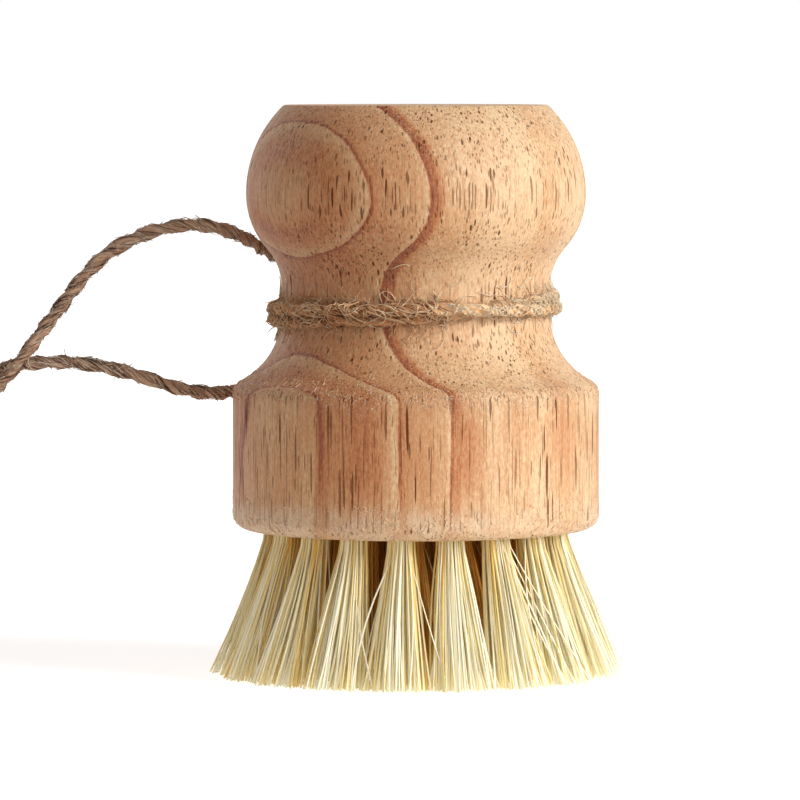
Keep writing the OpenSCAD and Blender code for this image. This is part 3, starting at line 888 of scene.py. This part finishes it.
def pores(m, p, ripple, fine, long, width, share, shift):
    """Dark dashes along the grain, some thick and some hardly there."""
    where = m.vector("ADD", m.vector("ADD", p, ripple), (shift, 2 * shift, 3 * shift))
    cell = m.node("TexVoronoi", {"feature": "F1"}, Scale=1.0, Randomness=1.0,
                  Vector=m.vector("MULTIPLY", where, (fine, fine, long)))
    luck = m.node("SeparateColor", None, Color=cell.outputs["Color"])
    edge = m.between(luck.outputs[1], 0.0, 1.0, 0.55 * width, width)
    pore = m.between(cell.outputs["Distance"], m.times(edge, 0.7), edge, 1.0, 0.0, True)
    return m.times(pore, m.between(luck.outputs[0], 1 - share, 1.12 - share, 0.0, 1.0))


def growth_depth(m, q, height):
    """How deep the place lies in the layers of growth, as a share of the last one's depth."""
    side = m.vector("DOT_PRODUCT", q, GROWTH_SIDE)
    bend = m.times(m.times(side, side), GROWTH_BEND)
    # Towards the drum's top the layers draw in on their far side
    draw = m.times(m.between(height, 35.0, 46.0), m.between(height, 47.0, 52.0, 1.0, 0.0))
    bend = m.less(bend, m.times(draw, m.between(side, 1.0, -7.0)))
    return m.math("DIVIDE", m.add(m.vector("DOT_PRODUCT", q, GROWTH_WAY), bend), LAYERS_END)


def growth_tone(m, depth, height):
    """Tone of the layers: pale past a line, dark at the next, with the drum and the neck shifted."""
    front = m.ramp(depth, [(d / LAYERS_END, tone) for d, tone in FRONT_LAYERS])
    back = m.ramp(m.add(depth, 1.0), [(d / LAYERS_END + 1, tone) for d, tone in BACK_LAYERS])
    tone = m.grey(m.mix(m.math("GREATER_THAN", depth, 0.0), back, front))
    # The deepest layers are paler on the knob
    core = m.times(m.between(depth, 0.825, 0.868, 0.0, 0.18, True), m.between(height, 60.0, 64.0))
    tone = m.less(tone, core)
    # The drum is a little darker, with its widest line blurred and faint, and so is the neck
    shift = m.grey(m.ramp(depth, [(d / LAYERS_END, 0.5 + t) for d, t in DRUM_SHIFT]))
    drum = m.times(m.between(height, 42.0, 48.0, 1.0, 0.0), m.between(height, 26.0, 38.0, 0.1, 1.3))
    tone = m.add(tone, m.times(m.less(shift, 0.5), drum))
    neck = m.times(m.between(height, 61.0, 66.0, 0.0, 0.18), m.between(height, 68.0, 76.0, 1.0, 0.0))
    tone = m.add(tone, m.times(neck, m.between(depth, 0.3, 0.5)))
    # Low on the drum the lines fade
    tone = m.times(tone, m.between(height, 26.5, 34.0, 0.35, 1.0))
    return m.add(tone, m.between(height, 26.5, 34.0, 0.15, 0.0))


def wood_material():
    m = Maker("turned_wood")
    p = m.place()
    height = m.node("SeparateXYZ", None, Vector=p).outputs["Z"]
    sway = m.wander(p, (0.05, 0.05, 0.022), 2.0, 0.45, 1.6)
    ripple = m.wander(p, (0.4, 0.4, 0.07), 3.0, 0.5, 0.8)
    q = m.vector("ADD", m.vector("ADD", p, sway), m.vector("SCALE", ripple, scale=0.45))
    tone = growth_tone(m, growth_depth(m, q, height), height)

    # Streaks along the grain, broad patches and fine mottling
    streak = m.noise(p, (1.9, 1.9, 0.05), 4.0, 0.66)
    patch = m.noise(p, (0.16, 0.16, 0.06))
    mottle = m.noise(p, (3.2, 3.2, 1.1), 3.0, 0.7)
    for what, how_much in ((streak, 0.7), (patch, 0.42), (mottle, 1.1)):
        tone = m.vary(tone, what, how_much, clamp=True)
    colour = m.ramp(tone, [(0.0, WOOD_PALE), (0.28, WOOD_MID), (0.68, WOOD_RED), (1.0, WOOD_LINE)])

    # Furry and scratched places, palest along the drum's lower rim
    rough = m.grey(m.ramp(m.math("DIVIDE", height, 100.0), [(z / 100, r) for z, r in ROUGH_HEIGHTS]))
    scratch = m.between(m.noise(q, (3.0, 3.0, 3.6), 4.0, 0.7), 0.54, 0.62, 0.0, 1.0, True)
    furry = m.times(scratch, rough)
    colour = m.mix(m.times(furry, 0.6), colour, WOOD_FUR)
    ragged = m.vary(height, streak, 6.0)
    pale_rim = m.times(m.between(ragged, 26.4, 30.0, 0.6, 0.0, True), m.between(patch, 0.35, 0.6))
    colour = m.mix(pale_rim, colour, WOOD_RIM)

    wide = pores(m, p, ripple, 1.5, 0.085, 0.4, 0.48, 0.0)
    narrow = pores(m, p, ripple, 2.7, 0.055, 0.4, 0.62, 17.3)
    short = pores(m, p, ripple, 2.2, 0.22, 0.38, 0.38, 31.1)
    crowd = m.between(m.noise(p, (0.22, 0.22, 0.04), 2.0), 0.36, 0.6, 0.5, 1.0)
    dark = m.math("MAXIMUM", wide, m.times(narrow, 0.75))
    dark = m.times(m.math("MAXIMUM", dark, m.times(short, 0.72)), crowd)
    colour = m.mix(m.times(dark, 0.9), colour, WOOD_PORE)

    m.set(Base_Color=colour, Roughness=m.between(streak, 0.3, 0.7, 0.46, 0.62),
          Specular_IOR_Level=m.between(dark, 0.0, 1.0, 0.5, 0.03))
    grain = m.add(m.times(streak, 0.5), m.less(m.times(furry, 0.7), dark))
    m.bump(m.add(grain, m.times(mottle, 1.1)), 0.0001, 0.9)
    return m.material


# Colours over tone, from the darkest to the palest
FIBRE_COLOURS = [(0.0, (226, 150, 36)), (0.25, (240, 190, 82)), (0.5, (250, 226, 150)),
                 (0.75, (254, 241, 191)), (1.0, (255, 251, 226))]
WAIST_TWINE = [(0.0, (98, 50, 26)), (0.25, (186, 120, 74)), (0.5, (238, 182, 130)),
               (0.75, (254, 217, 169)), (1.0, (255, 241, 211))]
# The loop and the knot: the twine's colours painted darker and cooler, as in shade
SHADED_LOOP_TWINE = [(0.0, (58, 40, 38)), (0.25, (150, 112, 92)), (0.5, (210, 171, 141)),
              (0.75, (238, 210, 182)), (1.0, (254, 242, 220))]
# The slivers of raised grain: painted paler than the wood, partly their own colour and partly painted
# highlight
SLIVER_TONES_AND_HIGHLIGHTS = [(0.0, WOOD_MID), (0.5, (244, 214, 178)), (1.0, (254, 240, 220))]
WIRE_COLOURS = [(0.3, (150, 146, 138)), (0.7, (196, 192, 184))]


def bristle_material():
    m = Maker("plant_fibre")
    fleck = m.noise(m.place(), (1.2, 1.2, 0.5), 3.0, 0.6)
    tone = m.vary(m.carried("tone"), fleck, 0.35)
    # Painted shade: darker towards the roots under the block, paler towards the tips
    tone = m.add(tone, m.between(m.carried("down"), 0.0, 0.55, -0.14, 0.06), clamp=True)
    m.set(Base_Color=m.ramp(tone, FIBRE_COLOURS), Roughness=0.42, Specular_IOR_Level=0.3,
          Sheen_Weight=0.6, Sheen_Roughness=0.5, Sheen_Tint=shade_of((255, 244, 214)))
    m.bump(fleck, 0.00003, 0.5)
    return m.material


def twine_material(name, stops):
    m = Maker(name)
    uv = m.node("UVMap", {"uv_map": "UVMap"}).outputs["UV"]
    along = m.noise(uv, (0.55, 26.0, 1.0), 4.0, 0.62)
    patch = m.noise(uv, (0.3, 2.0, 1.0), 2.0)
    tone = m.vary(m.vary(m.carried("tone"), along, 0.85), patch, 0.35, clamp=True)
    m.set(Base_Color=m.ramp(tone, stops), Roughness=0.8, Specular_IOR_Level=0.2,
          Sheen_Weight=0.15, Sheen_Roughness=0.5, Sheen_Tint=shade_of((255, 226, 190)))
    m.bump(along, 0.00014, 1.0)
    return m.material


def sliver_material():
    m = Maker("raised_grain")
    m.set(Base_Color=m.ramp(m.carried("tone"), SLIVER_TONES_AND_HIGHLIGHTS), Roughness=0.7)
    return m.material


def wire_material():
    m = Maker("anchor_wire")
    drawn = m.noise(m.place(), (6.0, 6.0, 0.8))
    m.set(Base_Color=m.ramp(drawn, WIRE_COLOURS), Roughness=m.between(drawn, 0.3, 0.7, 0.28, 0.45),
          Metallic=1.0)
    return m.material


def give(obj, material):
    obj.data.materials.clear()
    obj.data.materials.append(material)


# Studio

AMBIENT, FLOOR_R = (0.187, 0.158, 0.144, 1), 12
# Name, place, size and power
LIGHTS = [
    ("key", (1.05, -0.56, 0.52), 0.7, 15.0),
    ("fill", (0.35, -1.3, 0.3), 0.9, 2.0),
    ("edge", (-0.8, 0.75, 0.3), 0.6, 1.1),
    ("top", (-0.2, -0.45, 1.1), 0.8, 0.9),
]


def soft_light(name, place, size, power):
    data = bpy.data.lights.new(name, "AREA")
    data.shape, data.size, data.energy = "DISK", size, power
    lamp = bpy.data.objects.new(name, data)
    lamp.location = place
    lamp.rotation_euler = (LOOK_AT - Vector(place)).to_track_quat("-Z", "Y").to_euler()
    SCENE.collection.objects.link(lamp)


def shown_rays(nodes, links):
    """1 for rays that reach the eye, straight or by gloss or glass, else 0."""
    rays = nodes.new("ShaderNodeLightPath")
    total = rays.outputs["Is Camera Ray"]
    for other in ("Is Glossy Ray", "Is Transmission Ray"):
        either = nodes.new("ShaderNodeMath")
        either.operation = "MAXIMUM"
        links.new(total, either.inputs[0])
        links.new(rays.outputs[other], either.inputs[1])
        total = either.outputs[0]
    return total


def set_world():
    """White to the eye, and a dim warm grey for the light that it gives."""
    world = bpy.data.worlds.new("studio")
    SCENE.world = world
    world.use_nodes = True
    nodes, links = world.node_tree.nodes, world.node_tree.links
    tint = nodes.new("ShaderNodeMix")
    tint.data_type = "RGBA"
    tint.inputs[6].default_value = AMBIENT
    tint.inputs[7].default_value = (1, 1, 1, 1)
    links.new(shown_rays(nodes, links), tint.inputs["Factor"])
    links.new(tint.outputs[2], nodes["Background"].inputs["Color"])


def make_floor():
    """White to the eye, whitest far out. The light that it gives comes only from close to the brush."""
    start_fresh()
    bpy.ops.mesh.primitive_circle_add(vertices=64, radius=FLOOR_R, fill_type="NGON")
    floor = bpy.context.object
    floor.name = "floor"
    m = Maker("floor_white")
    m.set(Base_Color=(0.8, 0.8, 0.8, 1), Roughness=0.9, Specular_IOR_Level=0.0, Emission_Color=(1, 1, 1, 1))
    seen = shown_rays(m.nodes, m.links)
    away = m.vector("LENGTH", m.node("TexCoord").outputs["Object"])
    shown = m.times(seen, m.between(away, 0.1, 0.7, 0.74, 1.0))
    glow = m.times(m.less(1.0, seen), m.between(away, 0.05, 0.1, 0.65, 0.0, True))
    m.set(Emission_Strength=m.add(shown, glow))
    give(floor, m.material)


def set_studio():
    SCENE.view_settings.view_transform = "Standard"
    set_world()
    make_floor()
    for light in LIGHTS:
        soft_light(*light)


def add_twine_ring():
    twine = twine_material("jute_twine", WAIST_TWINE)
    loop = twine_material("jute_twine_in_shade", SHADED_LOOP_TWINE)
    made, legs = make_twine()
    knot = make_knot()
    declare_cords(made)
    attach(made["waist_twine"], "twine_ring")
    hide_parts("waist_wrap")
    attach(knot, "twine_ring")
    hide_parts("end_knot")
    made["waist_fibres"] = make_curls()
    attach(made["waist_fibres"], "twine_ring")
    for piece in (*made.values(), knot):
        # The waist's pieces get the lit twine, the loop's legs and the knot the twine painted in shade
        give(piece, twine if piece.name.startswith("waist") else loop)


def add_block():
    block = turn_block()
    give(block, wood_material())
    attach(block, "brush")
    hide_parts("handle_block")

    slivers = make_slivers()
    give(slivers, sliver_material())
    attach(slivers, "brush")


def add_tufts():
    fibres = bristle_material()
    fibre, root = make_fibre(), make_root()
    for seed, (name, ring, turn) in enumerate(hole_places(), 100):
        tuft = make_tuft(name, ring, turn, fibre, root, seed)
        give(tuft, fibres)
        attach(tuft, "brush")
        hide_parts(name)
    bpy.data.objects.remove(fibre)
    bpy.data.objects.remove(root)


def add_anchors():
    """The wires keep the solids' own shapes and only get their material."""
    wire = wire_material()
    for node in ("outer_anchors", "middle_anchors", "inner_anchors", "centre_anchor"):
        give(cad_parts[node], wire)


set_camera()
add_twine_ring()
add_block()
add_tufts()
add_anchors()
set_studio()
